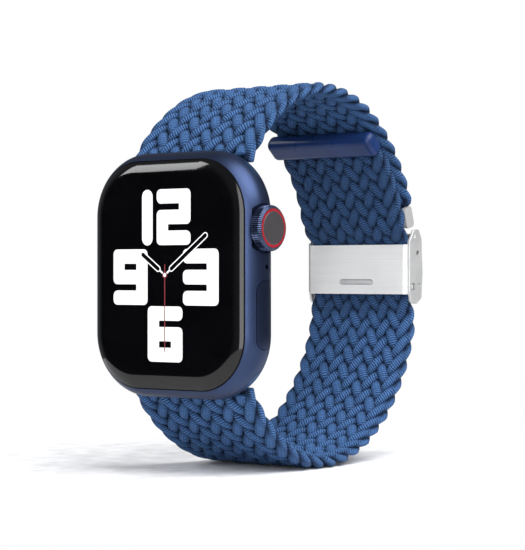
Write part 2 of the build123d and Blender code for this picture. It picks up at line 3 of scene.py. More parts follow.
import bmesh
import bpy
import numpy as np
from bpy.props import FloatProperty, FloatVectorProperty, IntProperty, PointerProperty
from bpy.types import Operator, Panel, PropertyGroup
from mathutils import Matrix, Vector


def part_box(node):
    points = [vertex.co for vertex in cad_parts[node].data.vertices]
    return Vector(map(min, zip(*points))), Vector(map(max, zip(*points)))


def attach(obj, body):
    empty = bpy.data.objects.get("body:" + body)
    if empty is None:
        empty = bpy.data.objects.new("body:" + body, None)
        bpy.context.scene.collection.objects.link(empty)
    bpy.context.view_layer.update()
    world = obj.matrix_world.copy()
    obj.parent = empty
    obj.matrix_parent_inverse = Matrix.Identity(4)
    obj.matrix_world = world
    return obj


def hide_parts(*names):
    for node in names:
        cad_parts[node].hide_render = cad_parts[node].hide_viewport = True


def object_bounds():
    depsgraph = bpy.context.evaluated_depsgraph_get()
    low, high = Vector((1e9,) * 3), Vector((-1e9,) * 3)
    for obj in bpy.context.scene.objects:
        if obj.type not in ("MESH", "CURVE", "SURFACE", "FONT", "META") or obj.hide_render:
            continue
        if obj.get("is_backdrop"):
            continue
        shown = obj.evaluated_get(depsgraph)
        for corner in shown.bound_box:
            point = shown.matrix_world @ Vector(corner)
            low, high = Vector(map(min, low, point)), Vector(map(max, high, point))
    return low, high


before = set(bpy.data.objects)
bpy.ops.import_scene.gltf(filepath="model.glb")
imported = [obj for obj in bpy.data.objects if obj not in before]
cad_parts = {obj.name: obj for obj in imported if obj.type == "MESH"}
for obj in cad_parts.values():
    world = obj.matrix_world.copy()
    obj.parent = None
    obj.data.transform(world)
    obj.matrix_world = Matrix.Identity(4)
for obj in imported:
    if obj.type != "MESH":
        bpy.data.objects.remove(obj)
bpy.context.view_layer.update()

bl_info = {
    "name": "Braided Band Watch",
    "version": (1, 0, 0),
    "blender": (4, 5, 0),
    "location": "View3D > Sidebar > Band Watch",
    "description": "Dresses a fitness watch frame with its braided band, dial and finishes",
    "category": "Object",
}

MM = 0.001


# ---------------------------------------------------------------- settings
def colour(name, default, description):
    """A colour that the user can change."""
    return FloatVectorProperty(
        name=name, description=description, default=default, subtype="COLOR", size=3, min=0.0, max=1.0
    )


class BandSettings(PropertyGroup):
    loop_centre: FloatProperty(
        name="Loop Centre", description="Distance from the back crystal to the loop's centre",
        default=21.1 * MM, subtype="DISTANCE", unit="LENGTH",
    )
    loop_depth: FloatProperty(
        name="Loop Depth", description="Half of the loop's outer size from display to clasp",
        default=31.35 * MM, subtype="DISTANCE", unit="LENGTH",
    )
    loop_height: FloatProperty(
        name="Loop Height", description="Half of the loop's outer height",
        default=35.7 * MM, subtype="DISTANCE", unit="LENGTH",
    )
    thickness: FloatProperty(
        name="Webbing Thickness", description="Thickness of the woven body between the strands' crowns",
        default=2.3 * MM, subtype="DISTANCE", unit="LENGTH",
    )
    crown_height: FloatProperty(
        name="Strand Crown", description="How far the strands stand proud of the webbing on each face",
        default=0.20 * MM, subtype="DISTANCE", unit="LENGTH",
    )
    half_width_case: FloatProperty(
        name="Half Width at Case", description="Half of the band's width where it joins the lugs",
        default=14.0 * MM, subtype="DISTANCE", unit="LENGTH",
    )
    half_width_clasp: FloatProperty(
        name="Half Width at Clasp", description="Half of the band's width beside the clasp",
        default=12.6 * MM, subtype="DISTANCE", unit="LENGTH",
    )
    columns: IntProperty(
        name="Columns", description="How many columns of floats lie side by side", default=10, min=4, max=16
    )
    pitch: FloatProperty(
        name="Pitch", description="Distance along the band from one float to the next in a column",
        default=3.9 * MM, subtype="DISTANCE", unit="LENGTH",
    )
    strand_width: FloatProperty(
        name="Strand Width", description="Width of one strand of the braid",
        default=2.2 * MM, subtype="DISTANCE", unit="LENGTH",
    )
    rib_pitch: FloatProperty(
        name="Rib Pitch", description="Distance between the fine ribs round each strand",
        default=0.42 * MM, subtype="DISTANCE", unit="LENGTH",
    )
    yarn: colour("Yarn", (0.060, 0.152, 0.365), "Colour of the braid's yarn")
    # The dark colour of the painted shade deep in the braid and in its gaps.
    yarn_painted_shade: colour("Yarn Shade", (0.004, 0.012, 0.034), "Colour of the yarn deep in the braid")
    cap: colour("Tail Cap", (0.010, 0.028, 0.105), "Colour of the moulded tail cap")


class CaseSettings(PropertyGroup):
    anodised: colour("Anodised Blue", (0.036, 0.053, 0.113), "Colour of the blasted and anodised case")
    lug: colour("Lug Blue", (0.045, 0.095, 0.200), "Colour of the lugs")
    knob_teeth: IntProperty(
        name="Knob Teeth", description="How many teeth ring the winding knob", default=66, min=12
    )
    crown_red: colour("Knob Ring", (0.26, 0.006, 0.012), "Colour of the ring in the crown")
    crown_cap: colour("Knob Cap", (0.036, 0.032, 0.036), "Colour of the crown's centre")
    clasp: colour("Clasp Silver", (0.80, 0.80, 0.795), "Colour of the satin clasp metal")


class DialSettings(PropertyGroup):
    numeral: colour("Numerals", (0.95, 0.95, 0.95), "Colour of the lit numerals and hands")
    second_hand: colour("Second Hand", (0.32, 0.06, 0.07), "Colour of the second hand")
    stroke: FloatProperty(
        name="Stroke", description="Thickness of the numerals' bars", default=2.66 * MM,
        subtype="DISTANCE", unit="LENGTH",
    )
    slot: FloatProperty(
        name="Slot", description="Height of the slots in the numerals", default=1.12 * MM,
        subtype="DISTANCE", unit="LENGTH",
    )


# ---------------------------------------------------------------- finishes
BLAST_GRAIN = 9000.0
MOTTLE_SCALE = 220.0
RIB_SLANT = -3.0
RIB_WANDER = 1.0
STITCH_ROWS = 11


def new_finish(name):
    """A fresh material with its nodes, its links and its main shader."""
    mat = bpy.data.materials.new(name)
    mat.use_nodes = True
    nodes = mat.node_tree.nodes
    return mat, nodes, mat.node_tree.links, nodes["Principled BSDF"]


def noise(nodes, links, scale, detail=3.0, roughness=0.55, stretch=(1.0, 1.0, 1.0)):
    """Noise in the object's own metres."""
    place = nodes.new("ShaderNodeTexCoord")
    mapping = nodes.new("ShaderNodeMapping")
    mapping.inputs["Scale"].default_value = stretch
    tex = nodes.new("ShaderNodeTexNoise")
    tex.inputs["Scale"].default_value = scale
    tex.inputs["Detail"].default_value = detail
    tex.inputs["Roughness"].default_value = roughness
    links.new(place.outputs["Object"], mapping.inputs["Vector"])
    links.new(mapping.outputs["Vector"], tex.inputs["Vector"])
    return tex.outputs["Fac"]


def spread(nodes, links, value, low, high, start=0.3, end=0.7):
    """Stretches a value that runs from start to end so that it runs from low to high."""
    ranged = nodes.new("ShaderNodeMapRange")
    ranged.inputs["From Min"].default_value = start
    ranged.inputs["From Max"].default_value = end
    ranged.inputs["To Min"].default_value = low
    ranged.inputs["To Max"].default_value = high
    links.new(value, ranged.inputs["Value"])
    return ranged.outputs["Result"]


def two_tone(nodes, links, value, dark, light):
    """Goes from the dark colour to the light one with the value."""
    mix = nodes.new("ShaderNodeMix")
    mix.data_type = "RGBA"
    mix.inputs["A"].default_value = (*dark, 1)
    mix.inputs["B"].default_value = (*light, 1)
    links.new(value, mix.inputs["Factor"])
    return mix.outputs["Result"]


def bump(nodes, links, height, strength, distance, normal=None):
    """Raises the surface with the height, on top of another bump if one is given."""
    node = nodes.new("ShaderNodeBump")
    node.inputs["Strength"].default_value = strength
    node.inputs["Distance"].default_value = distance
    links.new(height, node.inputs["Height"])
    if normal is not None:
        links.new(normal, node.inputs["Normal"])
    return node.outputs["Normal"]


def maths(nodes, links, operation, *values):
    """One sum on sockets or plain numbers."""
    node = nodes.new("ShaderNodeMath")
    node.operation = operation
    for socket, value in zip(node.inputs, values):
        if isinstance(value, (int, float)):
            socket.default_value = value
        else:
            links.new(value, socket)
    return node.outputs["Value"]


def shade(rgb, factor):
    """The colour made darker or lighter."""
    return tuple(min(1.0, c * factor) for c in rgb)


def mottled(nodes, links, value, rgb, darker, lighter):
    """The colour, a little darker or lighter from place to place."""
    full = spread(nodes, links, value, 0.0, 1.0)
    return two_tone(nodes, links, full, shade(rgb, darker), shade(rgb, lighter))


def blasted_metal(name, rgb, roughness=0.40, metallic=1.0):
    """Bead-blasted and anodised aluminium: a fine sparkle and a soft, slightly uneven sheen."""
    mat, nodes, links, skin = new_finish(name)
    patches = noise(nodes, links, 90.0, 2.0)
    links.new(mottled(nodes, links, patches, rgb, 0.9, 1.12), skin.inputs["Base Color"])
    grain = noise(nodes, links, BLAST_GRAIN, 2.0, 0.6)
    links.new(spread(nodes, links, grain, roughness - 0.05, roughness + 0.06), skin.inputs["Roughness"])
    links.new(bump(nodes, links, grain, 0.45, 0.00003), skin.inputs["Normal"])
    skin.inputs["Metallic"].default_value = metallic
    return mat


def brushed_metal(name, rgb, roughness=0.3, stretch=(40.0, 3000.0, 3000.0), metallic=1.0):
    """Satin metal with fine lines along X and faint handling marks."""
    mat, nodes, links, skin = new_finish(name)
    lines = noise(nodes, links, 1.0, 3.0, 0.6, stretch)
    marks = noise(nodes, links, 260.0, 4.0, 0.6)
    links.new(mottled(nodes, links, lines, rgb, 0.96, 1.03), skin.inputs["Base Color"])
    links.new(spread(nodes, links, marks, roughness - 0.05, roughness + 0.08), skin.inputs["Roughness"])
    links.new(bump(nodes, links, lines, 0.12, 0.00002), skin.inputs["Normal"])
    skin.inputs["Metallic"].default_value = metallic
    return mat


def knurled_metal(name, rgb, centre, teeth):
    """Anodised metal with painted shade darkening the valleys between the teeth that ring an axis along X.
    """
    mat, nodes, links, skin = new_finish(name)
    place = nodes.new("ShaderNodeTexCoord")
    split = nodes.new("ShaderNodeSeparateXYZ")
    links.new(place.outputs["Object"], split.inputs["Vector"])
    across = maths(nodes, links, "SUBTRACT", split.outputs["Y"], centre.y)
    up = maths(nodes, links, "SUBTRACT", split.outputs["Z"], centre.z)
    angle = maths(nodes, links, "ARCTAN2", up, across)
    wave = maths(nodes, links, "COSINE", maths(nodes, links, "MULTIPLY", angle, teeth))
    ridge = spread(nodes, links, wave, 1.0, 0.0, -0.3, 0.6)
    # Painted shade: the valleys between the teeth are darkened almost to black.
    links.new(two_tone(nodes, links, ridge, shade(rgb, 0.04), rgb), skin.inputs["Base Color"])
    grain = noise(nodes, links, BLAST_GRAIN, 2.0, 0.6)
    links.new(spread(nodes, links, grain, 0.22, 0.30), skin.inputs["Roughness"])
    links.new(bump(nodes, links, ridge, 0.8, 0.00008), skin.inputs["Normal"])
    skin.inputs["Metallic"].default_value = 0.7
    return mat


def moulded(name, rgb, roughness=0.4, coat=0.0, grain_scale=1500.0, grain=0.1, gloss=0.5):
    """Moulded plastic, rubber or ceramic with a faint mottle and a fine surface grain."""
    mat, nodes, links, skin = new_finish(name)
    mottle = noise(nodes, links, MOTTLE_SCALE, 3.0)
    links.new(mottled(nodes, links, mottle, rgb, 0.88, 1.12), skin.inputs["Base Color"])
    fine = noise(nodes, links, grain_scale, 2.0)
    links.new(spread(nodes, links, fine, roughness - 0.04, roughness + 0.05), skin.inputs["Roughness"])
    links.new(bump(nodes, links, fine, grain, 0.00003), skin.inputs["Normal"])
    skin.inputs["Coat Weight"].default_value = coat
    skin.inputs["Coat Roughness"].default_value = 0.08
    skin.inputs["Specular IOR Level"].default_value = gloss
    return mat


def circuit_board(name, rgb):
    """Solder mask with square traces and pads."""
    mat, nodes, links, skin = new_finish(name)
    place = nodes.new("ShaderNodeTexCoord")
    cells = nodes.new("ShaderNodeTexVoronoi")
    cells.distance = "CHEBYCHEV"
    cells.inputs["Scale"].default_value = 900.0
    links.new(place.outputs["Object"], cells.inputs["Vector"])
    pads = spread(nodes, links, cells.outputs["Distance"], 1.0, 0.0, 0.12, 0.16)
    links.new(two_tone(nodes, links, pads, rgb, (0.55, 0.42, 0.16)), skin.inputs["Base Color"])
    links.new(spread(nodes, links, noise(nodes, links, 700.0), 0.35, 0.5), skin.inputs["Roughness"])
    links.new(bump(nodes, links, pads, 0.3, 0.00004), skin.inputs["Normal"])
    return mat


def wound_wire(name, rgb):
    """Fine enamelled wire wound in rings about the back crystal's axis."""
    mat, nodes, links, skin = new_finish(name)
    place = nodes.new("ShaderNodeTexCoord")
    rings = nodes.new("ShaderNodeTexWave")
    rings.wave_type = "RINGS"
    rings.rings_direction = "Y"
    rings.inputs["Scale"].default_value = 900.0
    links.new(place.outputs["Object"], rings.inputs["Vector"])
    links.new(two_tone(nodes, links, rings.outputs["Fac"], shade(rgb, 0.5), rgb), skin.inputs["Base Color"])
    links.new(spread(nodes, links, noise(nodes, links, 500.0), 0.25, 0.4), skin.inputs["Roughness"])
    links.new(bump(nodes, links, rings.outputs["Fac"], 0.5, 0.00008), skin.inputs["Normal"])
    skin.inputs["Metallic"].default_value = 0.9
    return mat


def black_glass(name):
    """Cover glass over a dark display: deep black, with faint smears in its polish."""
    mat, nodes, links, skin = new_finish(name)
    smears = noise(nodes, links, 60.0, 5.0, 0.6, (1.0, 1.0, 2.5))
    full = spread(nodes, links, smears, 0.0, 1.0)
    black = two_tone(nodes, links, full, (0.0012, 0.0012, 0.0016), (0.0022, 0.0022, 0.003))
    links.new(black, skin.inputs["Base Color"])
    links.new(spread(nodes, links, smears, 0.075, 0.105), skin.inputs["Roughness"])
    skin.inputs["IOR"].default_value = 1.5
    skin.inputs["Specular IOR Level"].default_value = 0.36
    return mat


def lit_print(name, rgb, glow):
    """The lit marks of the dial, dim in themselves so that their glow does the work."""
    mat, nodes, links, skin = new_finish(name)
    cells = noise(nodes, links, 4000.0, 1.0)
    tint = mottled(nodes, links, cells, rgb, 0.97, 1.0)
    dim = two_tone(nodes, links, cells, shade(rgb, 0.42), shade(rgb, 0.46))
    links.new(dim, skin.inputs["Base Color"])
    links.new(tint, skin.inputs["Emission Color"])
    links.new(spread(nodes, links, cells, 0.2, 0.26), skin.inputs["Roughness"])
    skin.inputs["Emission Strength"].default_value = glow
    return mat


def braid_yarn(name, rgb, dark):
    """Knitted elastic cord: slanted ribs, rows of stitches, fine filaments and a soft sheen, with painted
    shade in the grooves between ribs and rows and deep in the braid.
    """
    mat, nodes, links, skin = new_finish(name)
    uv = nodes.new("ShaderNodeUVMap")
    uv.uv_map = "Strand"
    split = nodes.new("ShaderNodeSeparateXYZ")
    links.new(uv.outputs["UV"], split.inputs["Vector"])

    def calc(operation, *values):
        return maths(nodes, links, operation, *values)

    wander = calc("MULTIPLY", noise(nodes, links, 700.0, 2.0), RIB_WANDER)
    slant = calc("MULTIPLY", split.outputs["Y"], RIB_SLANT)
    phase = calc("ADD", calc("ADD", split.outputs["X"], slant), wander)
    ribs = calc("ABSOLUTE", calc("SINE", calc("MULTIPLY", phase, math.pi)))
    rows = calc("ABSOLUTE", calc("SINE", calc("MULTIPLY", split.outputs["Y"], STITCH_ROWS * math.pi)))
    filament = noise(nodes, links, 6500.0, 3.0, 0.7)
    # The depth attribute is painted shade, low deep inside the braid.
    depth = nodes.new("ShaderNodeAttribute")
    depth.attribute_name = "depth"
    # Painted shade in the grooves between the ribs and between the rows of stitches.
    rib_painted_shade = spread(nodes, links, ribs, 0.12, 1.0, 0.05, 0.95)
    row_painted_shade = spread(nodes, links, rows, 0.68, 1.0, 0.1, 0.8)
    fibre_light = spread(nodes, links, filament, 0.78, 1.0)
    stitch_painted_shade = calc("MULTIPLY", rib_painted_shade, row_painted_shade)
    light = calc("MULTIPLY", calc("MULTIPLY", stitch_painted_shade, fibre_light), depth.outputs["Fac"])
    bright = mottled(nodes, links, noise(nodes, links, 120.0, 2.0), rgb, 0.92, 1.1)
    # Colour A, the dark one, is the yarn's painted shade.
    mix = nodes.new("ShaderNodeMix")
    mix.data_type = "RGBA"
    mix.inputs["A"].default_value = (*dark, 1)
    links.new(light, mix.inputs["Factor"])
    links.new(bright, mix.inputs["B"])
    links.new(mix.outputs["Result"], skin.inputs["Base Color"])
    links.new(spread(nodes, links, filament, 0.62, 0.8), skin.inputs["Roughness"])
    ribbed = bump(nodes, links, ribs, 0.9, 0.00016)
    links.new(bump(nodes, links, filament, 0.35, 0.00003, ribbed), skin.inputs["Normal"])
    skin.inputs["Sheen Weight"].default_value = 0.08
    skin.inputs["Sheen Roughness"].default_value = 0.4
    skin.inputs["Sheen Tint"].default_value = (0.25, 0.5, 1.0, 1)
    skin.inputs["Specular IOR Level"].default_value = 0.16
    return mat


def dress(node, mat):
    """Gives a carried-over node its finish."""
    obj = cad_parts[node]
    obj.data.materials.clear()
    obj.data.materials.append(mat)
    for face in obj.data.polygons:
        face.material_index = 0


def build(name, mesh, body, slot, *mats):
    """Puts a new piece in the scene and on its body."""
    obj = bpy.data.objects.new(name, mesh)
    bpy.context.scene.collection.objects.link(obj)
    for mat in mats:
        mesh.materials.append(mat)
    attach(obj, body)
    return obj


# ---------------------------------------------------------------- the band's line
# Angles run round the loop's oval from the display, over the top, to the clasp.
FIRST_ANGLE = 0.662
UPPER_LAST_ANGLE = 2.7
LOWER_LAST_ANGLE = math.pi - 0.33
LOOP_STEPS = 24
FILL_STEPS = 12
PROBE = 0.6 * MM

# The run into each lug: its length, its direction, and the case's rounded corner beneath the band.
LEAD_IN = 2.5 * MM
LEAD_Y, LEAD_Z = -0.563, -0.826
LEAD_SPARE = 0.1 * MM
CORNER_START = 7.3 * MM
CORNER_RADIUS = 11.5 * MM
CORNER_REACH = 0.8
CORNER_SHARE = 0.86
TAPER_START = -6.0 * MM
TAPER_SPARE = 9.0 * MM

# The upper band's run into its ferrule and the lower band's run through the clasp, in millimetres:
# y, z, half thickness and half width.
FERRULE_RUN = ((48.30, 13.55, 0.95, 11.2), (48.70, 12.25, 0.84, 11.2), (49.00, 11.25, 0.80, 11.2))
CLAMPED_RUN = (
    (50.05, -8.2, 1.25, 12.5),
    (49.82, -6.2, 1.05, 12.1),
    (49.65, -4.2, 0.85, 11.5),
    (49.65, 0.6, 0.85, 11.2),
    (49.65, 4.6, 0.85, 11.3),
    (49.32, 6.2, 0.85, 11.7),
    (48.36, 7.65, 0.9, 12.0),
    (47.28, 8.9, 1.0, 12.2),
)

# The tail lies inside the upper band, and its last stations run into the cap.
TAIL_ANGLES = (2.77, 2.205)
TAIL_STEPS = 8
TAIL_CAP_STEP = 7
TAIL_GAP = 0.22 * MM
TAIL_DIP = 0.4 * MM
TAIL_DIP_STEPS = 6
TAIL_HALF_WIDTH = 12.3 * MM
CAPPED_HALF_WIDTH = 11.8 * MM
CAPPED_HALF_THICKNESS = 0.9 * MM


def loop_point(band, angle, inset):
    """Y and Z of a point on the loop's oval, some way in from its outside."""
    depth, height = band.loop_depth - inset, band.loop_height - inset
    return (band.loop_centre - depth * math.cos(angle), height * math.sin(angle))


def smooth_line(stations):
    """Fills in a run of stations (y, z, half thickness, half width) as a smooth line."""
    rows = np.array(stations, float)
    padded = np.vstack([2 * rows[0] - rows[1], rows, 2 * rows[-1] - rows[-2]])
    out = []
    for i in range(1, len(padded) - 2):
        a, b, c, d = padded[i - 1: i + 3]
        for k in range(FILL_STEPS):
            t = k / FILL_STEPS
            out.append(0.5 * (2 * b + (c - a) * t + (2 * a - 5 * b + 4 * c - d) * t ** 2
                              + (3 * b - a - 3 * c + d) * t ** 3))
    out.append(rows[-1])
    return np.array(out)


class BandLine:
    """A band's mid-line in the side view, read by distance along it."""

    def __init__(self, stations, mirrored):
        rows = smooth_line(stations)
        step = np.hypot(np.diff(rows[:, 0]), np.diff(rows[:, 1]))
        self.at = np.concatenate([[0], np.cumsum(step)])
        self.rows = rows
        self.length = self.at[-1]
        self.flip = -1.0 if mirrored else 1.0

    def column(self, s, k):
        """One column of the stations (y, z, half thickness or half width) at distance s."""
        return np.interp(s, self.at, self.rows[:, k])

    def read(self, s):
        """Centre (y, z), outward normal, half thickness and half width at distance s."""
        s = np.clip(s, 0, self.length)
        y, z, thick, wide = (self.column(s, k) for k in range(4))
        ahead, behind = np.clip(s + PROBE, 0, self.length), np.clip(s - PROBE, 0, self.length)
        ty = self.column(ahead, 0) - self.column(behind, 0)
        tz = self.column(ahead, 1) - self.column(behind, 1)
        size = np.hypot(ty, tz)
        ty, tz = ty / size, tz / size
        return y, z, -tz * self.flip, ty * self.flip, thick, wide


def band_width(band, y):
    """Half of the band's width, which tapers from the case to the clasp."""
    far = band.loop_centre + band.loop_depth
    t = (y - TAPER_START) / (far + TAPER_SPARE)
    return band.half_width_case + (band.half_width_clasp - band.half_width_case) * t


def full_half(band):
    """Half of the braid's thickness, crowns included."""
    return band.thickness / 2 + band.crown_height


def corner_drop(across):
    """How much lower the case's rounded corner lies than the middle of its top, across the band."""
    over = np.clip(np.abs(across) - CORNER_START, 0, CORNER_RADIUS * CORNER_REACH)
    return CORNER_SHARE * (CORNER_RADIUS - np.sqrt(CORNER_RADIUS ** 2 - over ** 2))


def in_metres(run):
    """The stations of a run, from millimetres."""
    return [tuple(value * MM for value in station) for station in run]


def loop_stations(band, last_angle, side):
    """Stations from a lug round the loop; side is 1 for the upper band and -1 for the lower one."""
    stations = []
    for k in range(LOOP_STEPS + 1):
        angle = FIRST_ANGLE + (last_angle - FIRST_ANGLE) * k / LOOP_STEPS
        y, z = loop_point(band, angle, band.thickness / 2)
        stations.append((y, side * z, full_half(band), band_width(band, y)))
    y, z, thick, wide = stations[0]
    stations.insert(0, (y + LEAD_Y * LEAD_IN, z + side * LEAD_Z * LEAD_IN, thick, wide))
    return stations


def upper_line(band):
    """From the upper lug, over the top, into the ferrule."""
    return BandLine(loop_stations(band, UPPER_LAST_ANGLE, 1) + in_metres(FERRULE_RUN), False)


def lower_line(band):
    """From the lower lug, round the bottom, through the clasp and up inside the upper band to the cap."""
    stations = loop_stations(band, LOWER_LAST_ANGLE, -1) + in_metres(CLAMPED_RUN)
    inset = 1.5 * band.thickness + TAIL_GAP
    for k in range(TAIL_STEPS + 1):
        angle = TAIL_ANGLES[0] + (TAIL_ANGLES[1] - TAIL_ANGLES[0]) * k / TAIL_STEPS
        y, z = loop_point(band, angle, inset + TAIL_DIP * max(0, 1 - k / TAIL_DIP_STEPS))
        if k < TAIL_CAP_STEP:
            stations.append((y, z, full_half(band), TAIL_HALF_WIDTH))
        else:
            stations.append((y, z, CAPPED_HALF_THICKNESS, CAPPED_HALF_WIDTH))
    return BandLine(stations, True)


# ---------------------------------------------------------------- the braid
RING_SIDES = 10
RINGS_PER_PITCH = 10
SMOOTH_RINGS = 5
FLAT_TOP = 0.22
CASE_EDGE = 1.0 * MM
CORNER_FADE = 5.0 * MM
HALF_THICK = 0.70 * MM
HALF_THICK_SHARE = 0.53
FATNESS_SPREAD = 0.03
EDGE_OVERLAP = 0.92
SWAY = 0.05 * MM
SWAY_PITCHES = 3.7

# How light the yarn is, as painted shade: dark deep inside the braid between the strands, to full light on
# its faces and along its edges.
# Where the band is narrow, along its tail inside the loop, the yarn is darkened further as painted shade.
RIM_WIDTH = 0.9 * MM
DARK_BELOW = 0.40
LIGHT_RUN = 0.48
TAIL_SHADE_WIDTHS = (12.3 * MM, 12.6 * MM)
TAIL_SHADE_TONES = (0.62, 1.0)

# A thin sheet inside the braid, in the yarn's painted shade colour, fills the gaps between strands.
SHADE_SHEET_SIDES = 12
SHADE_SHEET_STEP = 1.0 * MM
SHADE_SHEET_EDGE = 1.5 * MM
SHADE_SHEET_SHARE = 0.22
SHADE_SHEET_END = 0.3 * MM


def strand_phase(band, t, strand):
    """Column position (0 at one edge) and height (-1 under, +1 over) of a strand at t pitches along."""
    columns = band.columns
    period = 2 * columns + 1
    phase = (t + strand) % period
    column = np.where(phase <= columns, phase, columns - np.clip(phase - columns - 0.5, 0, columns))
    middles, heights = [], []
    for j in range(columns):
        middles.append(j + 0.5)
        heights.append(1.0 if j % 2 == 0 else -1.0)
    for j in reversed(range(columns)):
        middles.append(columns + 0.5 + (columns - 1 - j) + 0.5)
        heights.append(1.0 if j % 2 == 1 else -1.0)
    middles = [middles[-1] - period, *middles, middles[0] + period]
    heights = [heights[-1], *heights, heights[0]]
    height = np.sin(0.5 * np.pi * np.interp(phase, middles, heights))
    return column, height * (1 + FLAT_TOP - FLAT_TOP * height * height)


def strand_rings(band, line, start, t, strand, rng):
    """The rings of one strand, how light each point of them is as painted shade (the depth), and the
    distance travelled at each ring.
    """
    column, height = strand_phase(band, t, strand)
    kernel = np.hanning(SMOOTH_RINGS + 2)[1:-1]
    kernel /= kernel.sum()
    column = np.convolve(np.pad(column, SMOOTH_RINGS // 2, mode="edge"), kernel, mode="valid")
    place = 2 * column / band.columns - 1
    travel = band.pitch * t
    drop = corner_drop(place * (band.half_width_case - CASE_EDGE))
    along = start + travel - drop * np.exp(-travel / CORNER_FADE)
    y, z, ny, nz, thick, wide = line.read(along)
    fat = 1 + FATNESS_SPREAD * rng.standard_normal()
    half_thick = np.minimum(HALF_THICK, HALF_THICK_SHARE * thick) * fat
    half_wide = 0.5 * band.strand_width * fat * np.minimum(1, wide / band.half_width_clasp) ** 0.5
    lift = (thick - half_thick) * height
    across = place * (wide - EDGE_OVERLAP * half_wide)
    sway = SWAY * np.sin(2 * np.pi * (t / SWAY_PITCHES + rng.random()))
    path = np.stack([across + sway, y + ny * lift, z + nz * lift], axis=1)
    tangent = np.gradient(path, axis=0)
    tangent /= np.linalg.norm(tangent, axis=1)[:, None]
    normal = np.stack([np.zeros_like(y), ny, nz], axis=1)
    side = np.cross(tangent, normal)
    side /= np.linalg.norm(side, axis=1)[:, None]
    up = np.cross(side, tangent)
    angles = 2 * np.pi * np.arange(RING_SIDES) / RING_SIDES
    rings = (path[:, None, :]
             + side[:, None, :] * half_wide[:, None, None] * np.cos(angles)[None, :, None]
             + up[:, None, :] * half_thick[:, None, None] * np.sin(angles)[None, :, None])
    face = np.abs(lift[:, None] + half_thick[:, None] * np.sin(angles)) / thick[:, None]
    rim = (np.abs(rings[:, :, 0]) - wide[:, None]) / RIM_WIDTH + 1
    # The depth is painted shade: the yarn darkens deep inside the braid.
    depth = np.clip((np.maximum(face, rim) - DARK_BELOW) / LIGHT_RUN, 0, 1)
    # Painted shade darkens the narrow tail inside the loop.
    depth *= np.interp(wide, TAIL_SHADE_WIDTHS, TAIL_SHADE_TONES)[:, None]
    travelled = np.concatenate([[0], np.cumsum(np.linalg.norm(np.diff(path, axis=0), axis=1))])
    return rings, depth, travelled


class MeshParts:
    """Collects vertices, faces, strand coordinates and depth, the painted shade, for one mesh."""

    def __init__(self):
        self.verts, self.faces, self.uvs, self.depth = [], [], [], []

    def add_tube(self, rings, depth, lengthwise):
        """Adds a closed tube through the rings."""
        count, sides = rings.shape[:2]
        base = len(self.verts)
        self.verts.extend(rings.reshape(-1, 3).tolist())
        self.depth.extend(depth.reshape(-1).tolist())
        for i in range(count - 1):
            for k in range(sides):
                n = (k + 1) % sides
                a, b = base + i * sides, base + (i + 1) * sides
                self.faces.append((a + k, a + n, b + n, b + k))
                u0, u1, v0, v1 = lengthwise[i], lengthwise[i + 1], k / sides, (k + 1) / sides
                self.uvs.extend([(u0, v0), (u0, v1), (u1, v1), (u1, v0)])
        last = base + (count - 1) * sides
        self.faces.append(tuple(base + k for k in reversed(range(sides))))
        self.faces.append(tuple(last + k for k in range(sides)))
        self.uvs.extend([(0, 0)] * (2 * sides))

    def mesh(self, name):
        """The mesh of all that was collected."""
        mesh = bpy.data.meshes.new(name)
        mesh.from_pydata(self.verts, [], self.faces)
        layer = mesh.uv_layers.new(name="Strand")
        layer.data.foreach_set("uv", np.array(self.uvs, np.float32).ravel())
        tone = mesh.attributes.new("depth", "FLOAT", "POINT")
        tone.data.foreach_set("value", np.array(self.depth, np.float32))
        mesh.polygons.foreach_set("use_smooth", [True] * len(mesh.polygons))
        mesh.update()
        return mesh


def shade_sheet_rings(line, start, end):
    """A thin flat sheet between the two faces of the braid, in the yarn's painted shade colour, which
    closes the gaps between strands with painted shade.
    """
    count = int((end - start) / SHADE_SHEET_STEP)
    along = np.linspace(start, end, count)
    y, z, ny, nz, thick, wide = line.read(along)
    angles = 2 * np.pi * np.arange(SHADE_SHEET_SIDES) / SHADE_SHEET_SIDES
    across = np.cos(angles)[None, :] * (wide - SHADE_SHEET_EDGE)[:, None]
    lift = np.sin(angles)[None, :] * (SHADE_SHEET_SHARE * thick)[:, None]
    return np.stack([across, y[:, None] + ny[:, None] * lift, z[:, None] + nz[:, None] * lift], axis=2)


def braid_mesh(name, band, line, start, end, seed):
    """Plaits the flat braid.

    Each strand crosses the columns one by one. It lies over in every other column, its turn at either
    edge carries it from the inner face to the outer one, and strands that head the two ways lie over in
    neighbouring columns. That gives columns of floats with opposite slants, half a pitch apart.
    """
    rng = np.random.default_rng(seed)
    turns = (end - start) / band.pitch
    t = np.linspace(0, turns, int(turns * RINGS_PER_PITCH) + 1)
    parts = MeshParts()
    for strand in range(2 * band.columns + 1):
        rings, depth, travelled = strand_rings(band, line, start, t, strand, rng)
        parts.add_tube(rings, depth, travelled / band.rib_pitch + rng.random())
    # The sheet's depth is zero, so it takes the full painted shade.
    shade_sheet = shade_sheet_rings(line, start + SHADE_SHEET_END, end - SHADE_SHEET_END)
    parts.add_tube(shade_sheet, np.zeros(shade_sheet.shape[:2]), np.zeros(shade_sheet.shape[0]))
    return parts.mesh(name)


